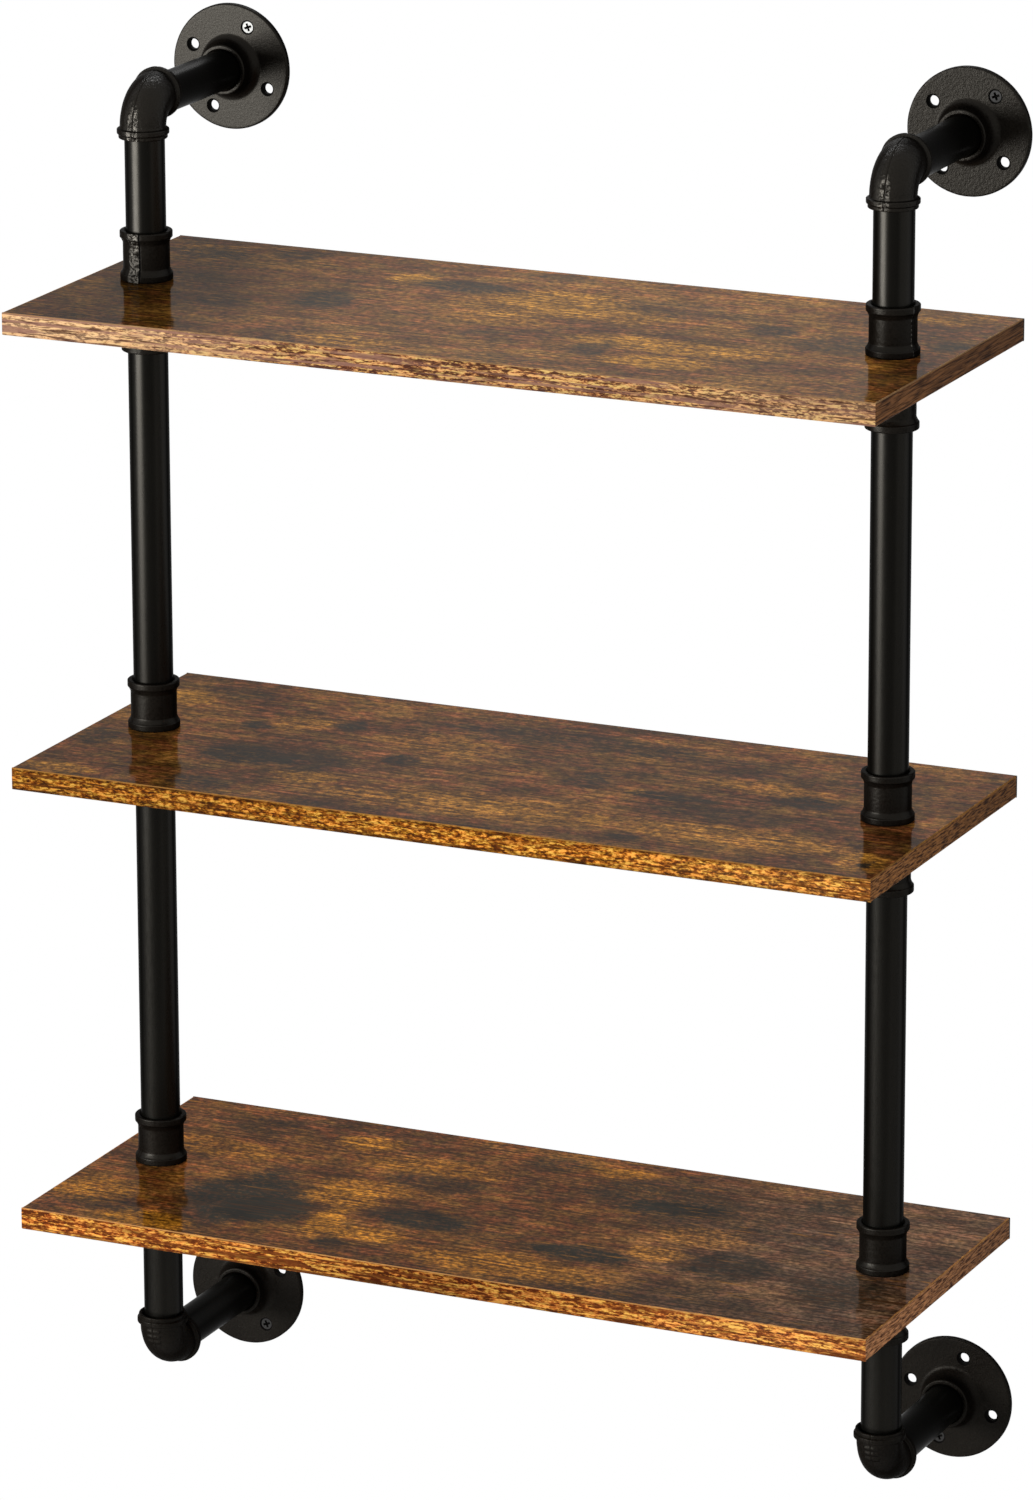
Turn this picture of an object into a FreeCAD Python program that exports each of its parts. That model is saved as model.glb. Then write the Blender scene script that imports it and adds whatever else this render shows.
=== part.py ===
# Three-board wall shelf on two black pipe posts, in millimetres.
# X runs along the boards, +Y points into the wall and +Z is up. The origin is the middle of the wall
# plane, halfway between the upper and lower arms.
import FreeCAD, Part
import math
import os

from FreeCAD import Placement, Rotation, Vector

os.makedirs("parts", exist_ok=True)

# Driving sizes of the boards
board_length = 610.0
board_depth = 254.0
board_thickness = 15.0
board_edge_easing = 0.6
edge_band_thickness = 1.0
post_from_end = 40.0
post_from_front = 127.0
rear_gap_to_wall = 3.0
board_hole_clearance = 0.5

# Driving sizes of the pipe
pipe_outer_diameter = 26.7
pipe_wall = 2.6
thread_engagement = 10.0
thread_clearance = 0.1
riser_pipe_length = 246.0
end_pipe_length = 82.0

# Driving sizes of the straight couplings
coupling_height = 33.0
coupling_body_diameter = 31.0
coupling_bead_diameter = 35.0
coupling_bead_height = 7.0
bead_edge_height = 1.6
bead_edge_width = 1.2
bead_shoulder_height = 1.0

# Driving sizes of the elbows
elbow_reach = 24.0
elbow_body_diameter = 30.6
elbow_bead_diameter = 34.6
elbow_bead_height = 7.0
elbow_mouth_band_height = 2.6
elbow_mouth_band_step = 1.1
elbow_waterway_diameter = 20.0

# Driving sizes of the wall flanges
flange_diameter = 85.0
flange_thickness = 4.6
flange_edge_chamfer = 0.8
flange_height = 18.0
collar_diameter = 34.0
collar_height = 4.0
flare_foot_diameter = 46.0
collar_edge_chamfer = 1.0
hole_circle_diameter = 61.0
hole_diameter = 7.0
countersink_diameter = 9.8
hole_names = ("first", "second", "third", "fourth")
flange_turn_degrees = {"top_left": 64.5, "top_right": 53.5, "bottom_left": 29.5, "bottom_right": 73.5}

# Driving sizes of the wall screws
screw_head_diameter = 8.0
screw_head_depth_below_face = 0.8
screw_shank_diameter = 4.4
screw_length = 25.0
screw_tip_length = 6.0
recess_span = 5.0
recess_width = 1.1
recess_depth = 1.7
screw_in_hole = {"top_left": "first", "top_right": "first", "bottom_left": "fourth", "bottom_right": "third"}

# One overrun serves every cut
overrun = 1.0

# Sizes worked out from the driving ones
pipe_radius = pipe_outer_diameter / 2
pipe_bore_radius = pipe_radius - pipe_wall
thread_radius = pipe_radius + thread_clearance
post_x = board_length / 2 - post_from_end
wall_to_post = rear_gap_to_wall + board_depth - post_from_front
post_y = -wall_to_post
board_front_y = post_y - post_from_front
board_pitch = riser_pipe_length - 2 * thread_engagement + 2 * coupling_height + board_thickness
board_to_arm = coupling_height + end_pipe_length - 2 * thread_engagement + elbow_reach
arm_spacing = 2 * board_to_arm + 2 * board_pitch + board_thickness
top_arm_z = arm_spacing / 2
bottom_arm_z = -arm_spacing / 2
board_top_z = {
    "top": top_arm_z - board_to_arm,
    "middle": top_arm_z - board_to_arm - board_pitch,
    "bottom": top_arm_z - board_to_arm - 2 * board_pitch,
}
side_x = {"left": -post_x, "right": post_x}
arm_z = {"top": top_arm_z, "bottom": bottom_arm_z}
arm_pipe_length = wall_to_post - elbow_reach - flange_height + 2 * thread_engagement

up = Vector(0, 0, 1)
origin = Vector(0, 0, 0)


def profile_point(radius, height):
    """A point of a turned outline: radius from the axis, height along it."""
    return Vector(radius, 0, height)


def turned(points):
    """The solid that a closed outline of straight edges sweeps about the Z axis."""
    face = Part.Face(Part.makePolygon(points + [points[0]]))
    return face.revolve(origin, up, 360)


def pipe(length):
    """A straight pipe along +Z from the origin."""
    return turned([
        profile_point(pipe_bore_radius, 0),
        profile_point(pipe_radius, 0),
        profile_point(pipe_radius, length),
        profile_point(pipe_bore_radius, length),
    ])


def bead_outline(bead_radius, body_radius, bead_height):
    """The outer edge of a cast bead, from its mouth up to where its shoulder meets the body."""
    return [
        profile_point(bead_radius - bead_edge_width, 0),
        profile_point(bead_radius, bead_edge_height),
        profile_point(bead_radius, bead_height - bead_edge_height),
        profile_point(body_radius, bead_height + bead_shoulder_height),
    ]


def mirrored_heights(points, total_height):
    """The same outline seen from the other end of a fitting of this height."""
    return [profile_point(p.x, total_height - p.z) for p in reversed(points)]


def coupling():
    """A banded straight coupling along +Z, with a bead at each end and a threaded bore through it."""
    lower = bead_outline(coupling_bead_diameter / 2, coupling_body_diameter / 2, coupling_bead_height)
    upper = mirrored_heights(lower, coupling_height)
    return turned(
        [profile_point(thread_radius, 0)] + lower + upper + [profile_point(thread_radius, coupling_height)]
    )


def quarter_bend(radius, bend_radius):
    """A quarter turn of round bar from the bottom leg, pointing -Z, to the rear leg, pointing +Y."""
    start = Vector(0, 0, -bend_radius)
    disc = Part.Face(Part.Wire(Part.makeCircle(radius, start, up)))
    return disc.revolve(Vector(0, bend_radius, -bend_radius), Vector(-1, 0, 0), 90)


def elbow_bead():
    """The bead at the mouth of an elbow, drawn up the Z axis: a plain band at its face, then a ridge."""
    radius = elbow_bead_diameter / 2
    band_radius = radius - elbow_mouth_band_step
    return turned([
        profile_point(0, 0),
        profile_point(band_radius, 0),
        profile_point(band_radius, elbow_mouth_band_height),
        profile_point(radius, elbow_mouth_band_height),
        profile_point(radius, elbow_bead_height - bead_edge_height),
        profile_point(radius - bead_edge_width, elbow_bead_height),
        profile_point(0, elbow_bead_height),
    ])


def elbow():
    """A banded elbow whose legs point -Z and +Y, with a socket in each leg and a waterway between them."""
    to_rear = Placement(Vector(0, elbow_reach, 0), Rotation(Vector(1, 0, 0), 90))
    to_bottom = Placement(Vector(0, 0, -elbow_reach), Rotation())
    body = quarter_bend(elbow_body_diameter / 2, elbow_reach - elbow_bead_height)
    hollow = quarter_bend(elbow_waterway_diameter / 2, elbow_reach - thread_engagement)
    socket = Part.makeCylinder(thread_radius, thread_engagement + overrun, Vector(0, 0, -overrun))
    for place in (to_rear, to_bottom):
        body = body.fuse(elbow_bead().transformed(place.toMatrix()))
        hollow = hollow.fuse(socket.transformed(place.toMatrix()))
    return body.cut(hollow).removeSplitter()


def straight(start, end):
    """A straight edge of a turned outline between two (radius, height) pairs."""
    return Part.LineSegment(profile_point(*start), profile_point(*end))


def flange_blank():
    """A floor flange standing on its back face: a disc that flares up into a threaded collar."""
    rim = flange_diameter / 2
    rim_top = flange_thickness - flange_edge_chamfer
    face_edge = rim - flange_edge_chamfer
    foot = flare_foot_diameter / 2
    collar = collar_diameter / 2
    flare_top = flange_height - collar_height
    lip_foot = flange_height - collar_edge_chamfer
    mouth_edge = collar - collar_edge_chamfer
    bow_share = 1 - math.sqrt(0.5)
    flare_middle = profile_point(
        collar + (foot - collar) * bow_share,
        flange_thickness + (flare_top - flange_thickness) * bow_share,
    )
    outline = [
        straight((thread_radius, 0), (rim, 0)),
        straight((rim, 0), (rim, rim_top)),
        straight((rim, rim_top), (face_edge, flange_thickness)),
        straight((face_edge, flange_thickness), (foot, flange_thickness)),
        Part.Arc(profile_point(foot, flange_thickness), flare_middle, profile_point(collar, flare_top)),
        straight((collar, flare_top), (collar, lip_foot)),
        straight((collar, lip_foot), (mouth_edge, flange_height)),
        straight((mouth_edge, flange_height), (thread_radius, flange_height)),
        straight((thread_radius, flange_height), (thread_radius, 0)),
    ]
    wire = Part.Wire([curve.toShape() for curve in outline])
    return Part.Face(wire).revolve(origin, up, 360)


def hole_place(turn, name):
    """The middle of one screw hole on the flange's back face, counted round from the flange's own turn."""
    angle = math.radians(turn + 360 * hole_names.index(name) / len(hole_names))
    reach = hole_circle_diameter / 2
    return Vector(reach * math.cos(angle), reach * math.sin(angle), 0)


def screw_hole():
    """The cutter for one countersunk screw hole, from the flange's back face up."""
    sink_depth = (countersink_diameter - hole_diameter) / 2
    sink_top = countersink_diameter / 2 + overrun
    return turned([
        profile_point(0, -overrun),
        profile_point(hole_diameter / 2, -overrun),
        profile_point(hole_diameter / 2, flange_thickness - sink_depth),
        profile_point(sink_top, flange_thickness + overrun),
        profile_point(0, flange_thickness + overrun),
    ])


def flange(turn):
    body = flange_blank()
    for name in hole_names:
        cutter = screw_hole()
        cutter.translate(hole_place(turn, name))
        body = body.cut(cutter)
    return body


def wall_screw():
    """A countersunk wood screw, its head down in the countersink and its point in the wall."""
    head_radius = screw_head_diameter / 2
    shank_radius = screw_shank_diameter / 2
    head_top = flange_thickness - screw_head_depth_below_face
    head_foot = head_top - (head_radius - shank_radius)
    point = head_top - screw_length
    body = turned([
        profile_point(0, head_top),
        profile_point(0, point),
        profile_point(shank_radius, point + screw_tip_length),
        profile_point(shank_radius, head_foot),
        profile_point(head_radius, head_top),
    ])
    for turn in (0, 90):
        slot = Part.makeBox(recess_span, recess_width, recess_depth + overrun)
        slot.translate(Vector(-recess_span / 2, -recess_width / 2, head_top - recess_depth))
        slot.rotate(origin, up, turn)
        body = body.cut(slot)
    return body


def board_core():
    """The particle board between its edge bands, with a hole for each post's nipple."""
    length = board_length - 2 * edge_band_thickness
    depth = board_depth - 2 * edge_band_thickness
    core = Part.makeBox(length, depth, board_thickness)
    core.translate(Vector(-length / 2, board_front_y + edge_band_thickness, -board_thickness))
    for x in side_x.values():
        hole = Part.makeCylinder(
            pipe_radius + board_hole_clearance,
            board_thickness + 2 * overrun,
            Vector(x, post_y, -board_thickness - overrun),
        )
        core = core.cut(hole)
    return core


def band_strip(length, depth):
    """One strip of edge band on its middle, its outer face at Y zero with both long edges eased."""
    end = -length / 2
    outline = [
        Vector(end, board_edge_easing, 0),
        Vector(end, depth, 0),
        Vector(end, depth, -board_thickness),
        Vector(end, board_edge_easing, -board_thickness),
        Vector(end, 0, board_edge_easing - board_thickness),
        Vector(end, 0, -board_edge_easing),
    ]
    return Part.Face(Part.makePolygon(outline + [outline[0]])).extrude(Vector(length, 0, 0))


def edge_bands():
    """The four strips round a board: long ones at front and rear, short ones between them at the ends."""
    end_length = board_depth - 2 * edge_band_thickness
    middle_y = board_front_y + board_depth / 2
    front = band_strip(board_length, edge_band_thickness)
    rear = front.copy()
    front.translate(Vector(0, board_front_y, 0))
    rear.rotate(origin, up, 180)
    rear.translate(Vector(0, board_front_y + board_depth, 0))
    left = band_strip(end_length, edge_band_thickness)
    right = left.copy()
    left.rotate(origin, up, -90)
    left.translate(Vector(-board_length / 2, middle_y, 0))
    right.rotate(origin, up, 90)
    right.translate(Vector(board_length / 2, middle_y, 0))
    return Part.makeCompound([front, rear, left, right])


def placed(shape, x, y, z, rotation=Rotation()):
    """A copy of a shape turned about the origin and then moved to its place."""
    return shape.transformed(Placement(Vector(x, y, z), rotation).toMatrix())


def save(node, shape):
    for solid in shape.Solids:
        if not solid.isValid():
            raise ValueError(node + " is not a valid solid")
    shape.exportStep("parts/" + node + ".step")


def save_boards():
    core = board_core()
    bands = edge_bands()
    for level, z in board_top_z.items():
        save("shelf_board_" + level, placed(core, 0, 0, z))
        save("edge_band_" + level, placed(bands, 0, 0, z))


def save_posts():
    """Each post from the top elbow down: end pipe, then coupling, board, coupling and riser in turn."""
    fitting = coupling()
    nipple = pipe(board_thickness + 2 * thread_engagement)
    riser = pipe(riser_pipe_length)
    end_pipe = pipe(end_pipe_length)
    over_coupling = coupling_height - thread_engagement
    spans = {"upper": "middle", "lower": "bottom"}
    for side, x in side_x.items():
        save("top_pipe_" + side, placed(end_pipe, x, post_y, board_top_z["top"] + over_coupling))
        for level, z in board_top_z.items():
            board_foot = z - board_thickness
            place = level + "_" + side
            save("coupling_over_" + place, placed(fitting, x, post_y, z))
            save("coupling_under_" + place, placed(fitting, x, post_y, board_foot - coupling_height))
            save("board_nipple_" + place, placed(nipple, x, post_y, board_foot - thread_engagement))
        for span, level in spans.items():
            riser_foot = board_top_z[level] + over_coupling
            save("riser_pipe_" + span + "_" + side, placed(riser, x, post_y, riser_foot))
        bottom_foot = bottom_arm_z + elbow_reach - thread_engagement
        save("bottom_pipe_" + side, placed(end_pipe, x, post_y, bottom_foot))


def save_arms():
    """At each corner: the elbow on the post, the arm pipe back to the wall, and the wall flange."""
    arm = pipe(arm_pipe_length)
    corner_fitting = elbow()
    along_wall = Rotation(Vector(1, 0, 0), -90)
    facing_room = Rotation(Vector(1, 0, 0), 90)
    upright = {"top": Rotation(), "bottom": Rotation(Vector(0, 1, 0), 180)}
    arm_front_y = post_y + elbow_reach - thread_engagement
    screws = []
    for level, z in arm_z.items():
        for side, x in side_x.items():
            corner = level + "_" + side
            turn = flange_turn_degrees[corner]
            save("elbow_" + corner, placed(corner_fitting, x, post_y, z, upright[level]))
            save("arm_pipe_" + corner, placed(arm, x, arm_front_y, z, along_wall))
            save("wall_flange_" + corner, placed(flange(turn), x, 0, z, facing_room))
            screw = wall_screw()
            screw.translate(hole_place(turn, screw_in_hole[corner]))
            screws.append(placed(screw, x, 0, z, facing_room))
    save("wall_screws", Part.makeCompound(screws))


save_boards()
save_posts()
save_arms()
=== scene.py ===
import bmesh
import bpy
import math
from mathutils import Matrix, Vector, noise


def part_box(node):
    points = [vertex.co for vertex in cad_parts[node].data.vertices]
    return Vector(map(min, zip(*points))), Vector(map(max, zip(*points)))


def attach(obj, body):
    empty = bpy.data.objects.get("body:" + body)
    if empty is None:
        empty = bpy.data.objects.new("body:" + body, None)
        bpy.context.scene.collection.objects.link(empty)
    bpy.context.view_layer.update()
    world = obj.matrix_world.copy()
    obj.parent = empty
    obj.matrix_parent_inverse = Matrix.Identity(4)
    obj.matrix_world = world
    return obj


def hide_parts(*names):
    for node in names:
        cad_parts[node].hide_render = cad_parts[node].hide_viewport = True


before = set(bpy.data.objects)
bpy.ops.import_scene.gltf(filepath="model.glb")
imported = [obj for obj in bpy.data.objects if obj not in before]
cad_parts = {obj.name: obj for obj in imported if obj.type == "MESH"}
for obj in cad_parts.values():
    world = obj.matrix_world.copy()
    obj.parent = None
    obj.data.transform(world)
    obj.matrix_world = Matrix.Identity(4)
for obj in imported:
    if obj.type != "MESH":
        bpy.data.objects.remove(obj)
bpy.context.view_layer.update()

mm = 0.001
body = "root"
levels = ("top", "middle", "bottom")
sides = ("left", "right")
corners = tuple(height + "_" + side for height in ("top", "bottom") for side in sides)

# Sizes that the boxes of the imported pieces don't give
pipe_wall = 2.6 * mm
pipe_end_chamfer = 0.8 * mm
fitting_bore = 13.45 * mm
mouth_lip = 1.2 * mm
mouth_radius = fitting_bore + mouth_lip
bead_height = 7.0 * mm
coupling_body_share = 31.0 / 35.0
elbow_body_share = 30.6 / 34.6
elbow_bars = (1.7 * mm, 3.9 * mm, 6.1 * mm)
flange_thickness = 4.6 * mm
flange_rim_round = 1.1 * mm
flange_collar = 17.0 * mm
flange_collar_height = 4.0 * mm
flange_flare_foot = 23.0 * mm
hole_circle = 30.5 * mm
hole_radius = 3.5 * mm
sink_radius = 4.9 * mm
# How far each flange's holes are turned, in degrees, and which hole has the screw
flange_turns = {"top_left": 64.5, "top_right": 53.5, "bottom_left": 29.5, "bottom_right": 73.5}
screw_numbers = {"top_left": 0, "top_right": 0, "bottom_left": 3, "bottom_right": 2}
screw_head = 4.0 * mm
screw_shank = 1.7 * mm
screw_crest = 2.2 * mm
screw_length = 25.0 * mm
screw_tip = 6.0 * mm
screw_pitch = 1.8 * mm
screw_edge = 0.15 * mm
screw_plain_neck = 3 * mm
screw_turn = 20
screw_below_face = 0.8 * mm

# Casting detail that only this scene has. Angles are in radians unless marked, densities in features per
# metre, and the elbow strip's end is a share of the way round.
coarse_skin_density, fine_skin_density = 420, 1100
coupling_skin, elbow_skin, flange_skin = 0.045 * mm, 0.06 * mm, 0.05 * mm
coupling_seam_angle, coupling_seam_height = 0.03, 0.22 * mm
elbow_seam_angle, elbow_seam_height = 0.035, 0.30 * mm
coupling_strip_height, coupling_strip_lumps, coupling_strip_density = 0.20 * mm, 0.55 * mm, 620
elbow_strip_height, elbow_strip_lumps, elbow_strip_density = 0.10 * mm, 0.50 * mm, 640
elbow_strip_angles, elbow_strip_end, elbow_strip_fade = (0.07, 0.26), 0.42, 0.05
coupling_strip_fade, coupling_shadow = 2.0, 3.6  # degrees
elbow_bar_angle, elbow_bar_half_width, elbow_bar_height = 0.32, 0.85 * mm, 0.65 * mm

# How finely the meshes are cut: steps round an axis, and the longest straight stretch of an outline
pipe_segments, coupling_segments, strip_segments = 96, 144, 216
elbow_segments, flange_segments, small_segments = 168, 180, 48
elbow_bend_steps, flare_steps = 66, 16
coupling_stretch, elbow_stretch, flange_stretch = 0.55 * mm, 0.6 * mm, 1.3 * mm
sharp_angle, cut_sharp_angle = 38, 32  # degrees

# Camera that the photograph's corners gave, about the middle of the posts
camera_target = Vector((0, -130 * mm, 0))
camera_turn = math.radians(24.77)
camera_tilt = math.radians(16.26)
camera_roll = math.radians(-0.168)
camera_distance = 5.091
camera_side_step = 2.1 * mm
camera_rise = 21.3 * mm
picture_height = 1500
focal_pixels = 7750
sensor = 36.0

# Marks in the boards' print: millimetres from the left end and from the rear edge, then half length, half
# width and strength. The bottom board also has one mark that is a diamond.
dark_marks = {
    "top": [
        (174, 135, 26, 30, 0.75), (243, 64, 46, 17, 0.75), (477, 100, 17, 17, 0.7), (529, 118, 34, 29, 0.6),
        (597, 93, 17, 17, 0.7), (394, 70, 56, 25, 0.4), (390, 189, 15, 26, 0.6), (303, 178, 15, 13, 0.5),
        (45, 42, 30, 18, 0.6), (100, 23, 19, 17, 0.6), (118, 172, 22, 10, 0.45), (290, 18, 40, 14, 0.4),
        (560, 60, 30, 22, 0.35), (600, 190, 26, 26, 0.4), (40, 150, 24, 26, 0.4), (345, 236, 40, 14, 0.35),
    ],
    "middle": [
        (124, 161, 38, 25, 0.85), (175, 160, 26, 30, 0.6), (104, 97, 12, 12, 0.8), (162, 73, 12, 13, 0.8),
        (228, 133, 15, 15, 0.75), (424, 138, 36, 10, 0.75), (506, 116, 30, 15, 0.75), (359, 127, 24, 18, 0.6),
        (320, 46, 120, 22, 0.55), (125, 232, 28, 16, 0.65), (212, 247, 24, 10, 0.6), (432, 230, 13, 9, 0.7),
        (470, 165, 60, 20, 0.45), (60, 30, 34, 16, 0.5), (480, 60, 90, 24, 0.35), (340, 95, 110, 22, 0.3),
        (570, 100, 24, 40, 0.35), (16, 160, 16, 24, 0.6), (596, 226, 6, 8, 0.9),
    ],
    "bottom": [
        (154, 193, 31, 26, 0.7), (255, 164, 42, 22, 0.85), (379, 181, 40, 17, 0.85), (475, 166, 36, 30, 0.7),
        (560, 181, 36, 34, 0.65), (386, 58, 66, 34, 0.6), (290, 27, 24, 22, 0.55), (494, 31, 20, 18, 0.6),
        (216, 232, 15, 12, 0.7), (77, 39, 34, 22, 0.45), (232, 97, 42, 22, 0.5), (425, 90, 70, 30, 0.4),
        (480, 225, 60, 26, 0.4), (40, 225, 40, 14, 0.4), (400, 246, 60, 10, 0.4), (320, 180, 40, 20, 0.35),
    ],
}
amber_marks = {
    "top": [
        (201, 58, 20, 16, 0.9), (316, 74, 56, 26, 0.8), (300, 105, 60, 24, 0.5), (440, 166, 80, 22, 0.75),
        (444, 208, 40, 18, 0.85), (40, 30, 26, 14, 0.6), (300, 140, 44, 20, 0.4), (360, 100, 60, 24, 0.45),
        (232, 232, 40, 16, 0.55), (560, 30, 40, 14, 0.4),
    ],
    "middle": [
        (23, 58, 26, 20, 0.8), (185, 193, 24, 15, 0.8), (398, 206, 12, 13, 0.9), (398, 137, 8, 5, 0.9),
        (300, 215, 110, 20, 0.55), (500, 205, 90, 26, 0.5), (30, 240, 30, 12, 0.6), (130, 80, 24, 22, 0.4),
        (470, 96, 50, 16, 0.4), (330, 192, 80, 14, 0.4), (240, 90, 50, 26, 0.3), (590, 222, 18, 22, 0.5),
    ],
    "bottom": [
        (158, 42, 26, 17, 0.60), (197, 193, 14, 32, 0.9), (232, 205, 34, 13, 0.70), (185, 147, 34, 22, 0.6),
        (85, 240, 36, 16, 0.8), (425, 162, 24, 15, 0.75), (347, 224, 84, 24, 0.60), (30, 200, 34, 30, 0.5),
        (196, 122, 40, 18, 0.45), (440, 120, 34, 22, 0.5), (60, 90, 60, 20, 0.4), (340, 25, 26, 12, 0.5),
        (218, 70, 60, 20, 0.4),
    ],
}
diamond_mark = (126, 172, 58, 74, 0.85)

# Where along X, in metres, the boards' left ends turn darker, and the colour of the painted sheen, a pale
# reflection painted over the bottom board's right half
left_stretch = (-0.27, -0.06)
painted_sheen_colour = (0.150, 0.102, 0.070)


# Meshes

def shade_smooth(mesh, sharp_degrees):
    """Smooth faces, apart from edges sharper than the angle given."""
    for polygon in mesh.polygons:
        polygon.use_smooth = True
    mesh.set_sharp_from_angle(angle=math.radians(sharp_degrees))


def smooth_mesh(name, points, faces):
    mesh = bpy.data.meshes.new(name)
    mesh.from_pydata(points, [], faces)
    mesh.update()
    shade_smooth(mesh, sharp_angle)
    piece = bpy.data.objects.new(name, mesh)
    bpy.context.scene.collection.objects.link(piece)
    return piece


def about_axis(radius, angle, height):
    """The point at a radius, an angle and a height about Z."""
    return Vector((radius * math.cos(angle), radius * math.sin(angle), height))


def arc(centre_radius, centre_height, radius, start, end, steps):
    """Points of an arc in an outline, angles in degrees from the outward direction."""
    points = []
    for count in range(steps + 1):
        angle = math.radians(start + (end - start) * count / steps)
        across, up = radius * math.cos(angle), radius * math.sin(angle)
        points.append((centre_radius + across, centre_height + up))
    return points


def divided(outline, longest):
    """The same closed outline with its long straight stretches cut into shorter ones."""
    points = []
    for (r0, h0), (r1, h1) in zip(outline, outline[1:] + outline[:1]):
        count = max(1, math.ceil(math.hypot(r1 - r0, h1 - h0) / longest))
        points += [(r0 + (r1 - r0) * k / count, h0 + (h1 - h0) * k / count) for k in range(count)]
    return points


def turned(name, outline, place, segments=pipe_segments, relief=None):
    """The solid that a closed outline sweeps about Z, moved to its place. An outline point on the axis is one
    shared point. relief gives the height of the surface texture, outwards, at an angle, height and radius."""
    points, faces, rings = [], [], []
    for radius, height in outline:
        if radius == 0:
            rings.append([len(points)] * segments)
            points.append(place @ Vector((0, 0, height)))
            continue
        rings.append(range(len(points), len(points) + segments))
        for segment in range(segments):
            angle = 2 * math.pi * segment / segments
            reach = radius + (relief(angle, height, radius) if relief else 0)
            points.append(place @ about_axis(reach, angle, height))
    for ring, above in zip(rings, rings[1:] + rings[:1]):
        for here in range(segments):
            there = (here + 1) % segments
            loop = [ring[here], ring[there], above[there], above[here]]
            face = [index for k, index in enumerate(loop) if index != loop[k - 1]]
            if len(face) > 2:
                faces.append(face)
    return smooth_mesh(name, points, faces)


def finish_piece(piece, material, slot, *nodes):
    """Gives a piece its material and body, and hides the model nodes that it stands for. slot is not used."""
    if material:
        piece.data.materials.append(material)
    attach(piece, body)
    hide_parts(*nodes)
    return piece


def paint_node(node, material):
    """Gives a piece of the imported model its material."""
    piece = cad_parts[node]
    piece.data.materials.clear()
    piece.data.materials.append(material)


# Node graphs

def add(tree, kind, **settings):
    made = tree.nodes.new(kind)
    for name, value in settings.items():
        setattr(made, name, value)
    return made


def set_inputs(made, values):
    for name, value in values.items():
        made.inputs[name].default_value = value


def feed(tree, socket, value):
    """Sets a socket to a number or colour, or links another socket to it."""
    if isinstance(value, bpy.types.NodeSocket):
        tree.links.new(value, socket)
    else:
        socket.default_value = value


def maths(tree, operation, first, second=0.0, clamp=False):
    made = add(tree, "ShaderNodeMath", operation=operation, use_clamp=clamp)
    feed(tree, made.inputs[0], first)
    feed(tree, made.inputs[1], second)
    return made.outputs[0]


def times(tree, first, second, clamp=False):
    return maths(tree, "MULTIPLY", first, second, clamp)


def vector_maths(tree, operation, first, second=(0, 0, 0)):
    made = add(tree, "ShaderNodeVectorMath", operation=operation)
    feed(tree, made.inputs[0], first)
    feed(tree, made.inputs[1], second)
    return made.outputs["Value" if operation in ("LENGTH", "DOT_PRODUCT") else "Vector"]


def step(tree, value, start, end, low=0.0, high=1.0):
    """A soft step from low to high as the value goes from start to end."""
    made = add(tree, "ShaderNodeMapRange", interpolation_type="SMOOTHSTEP")
    feed(tree, made.inputs["Value"], value)
    set_inputs(made, {"From Min": start, "From Max": end, "To Min": low, "To Max": high})
    return made.outputs["Result"]


def object_place(tree):
    return add(tree, "ShaderNodeTexCoord").outputs["Object"]


def stretched(tree, vector, density, shift=(0, 0, 0)):
    """Coordinates stretched so that a pattern has this many features per metre along X, Y and Z."""
    mapping = add(tree, "ShaderNodeMapping")
    tree.links.new(vector, mapping.inputs["Vector"])
    set_inputs(mapping, {"Scale": density, "Location": shift})
    return mapping.outputs["Vector"]


def split(tree, vector):
    """The outputs X, Y and Z of a vector."""
    made = add(tree, "ShaderNodeSeparateXYZ")
    tree.links.new(vector, made.inputs["Vector"])
    return made.outputs


def speckle(tree, vector, detail, rough, distortion=0.0, output="Fac"):
    made = add(tree, "ShaderNodeTexNoise")
    tree.links.new(vector, made.inputs["Vector"])
    set_inputs(made, {"Scale": 1.0, "Detail": detail, "Roughness": rough, "Distortion": distortion})
    return made.outputs[output]


def pattern(tree, density, detail, rough, distortion=0.0, shift=(0, 0, 0)):
    """Noise fixed to the object. A bare density is the same along X, Y and Z."""
    if not isinstance(density, tuple):
        density = (density, density, density)
    return speckle(tree, stretched(tree, object_place(tree), density, shift), detail, rough, distortion)


def ramp(tree, factor, stops):
    """A colour ramp through (position, colour) stops. A bare number is a grey."""
    made = add(tree, "ShaderNodeValToRGB")
    tree.links.new(factor, made.inputs["Fac"])
    elements = made.color_ramp.elements
    while len(elements) < len(stops):
        elements.new(0.5)
    for element, (position, colour) in zip(elements, stops):
        element.position = position
        if isinstance(colour, (int, float)):
            colour = (colour, colour, colour)
        element.color = (*colour, 1)
    return made.outputs["Color"]


def blend(tree, kind, factor, first, second):
    """Mixes two colours. A grey socket can stand for a colour."""
    made = add(tree, "ShaderNodeMix", data_type="RGBA", blend_type=kind)
    feed(tree, made.inputs["Factor"], factor)
    for name, value in (("A", first), ("B", second)):
        socket = next(s for s in made.inputs if s.name == name and s.type == "RGBA")
        feed(tree, socket, value if isinstance(value, bpy.types.NodeSocket) else (*value, 1))
    return next(s for s in made.outputs if s.type == "RGBA")


def bumped(tree, shader, height, strength, distance):
    made = add(tree, "ShaderNodeBump")
    tree.links.new(height, made.inputs["Height"])
    set_inputs(made, {"Strength": strength, "Distance": distance})
    tree.links.new(made.outputs["Normal"], shader.inputs["Normal"])


def new_material(name):
    made = bpy.data.materials.new(name)
    made.use_nodes = True
    tree = made.node_tree
    return made, tree, tree.nodes["Principled BSDF"]


# Materials

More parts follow.
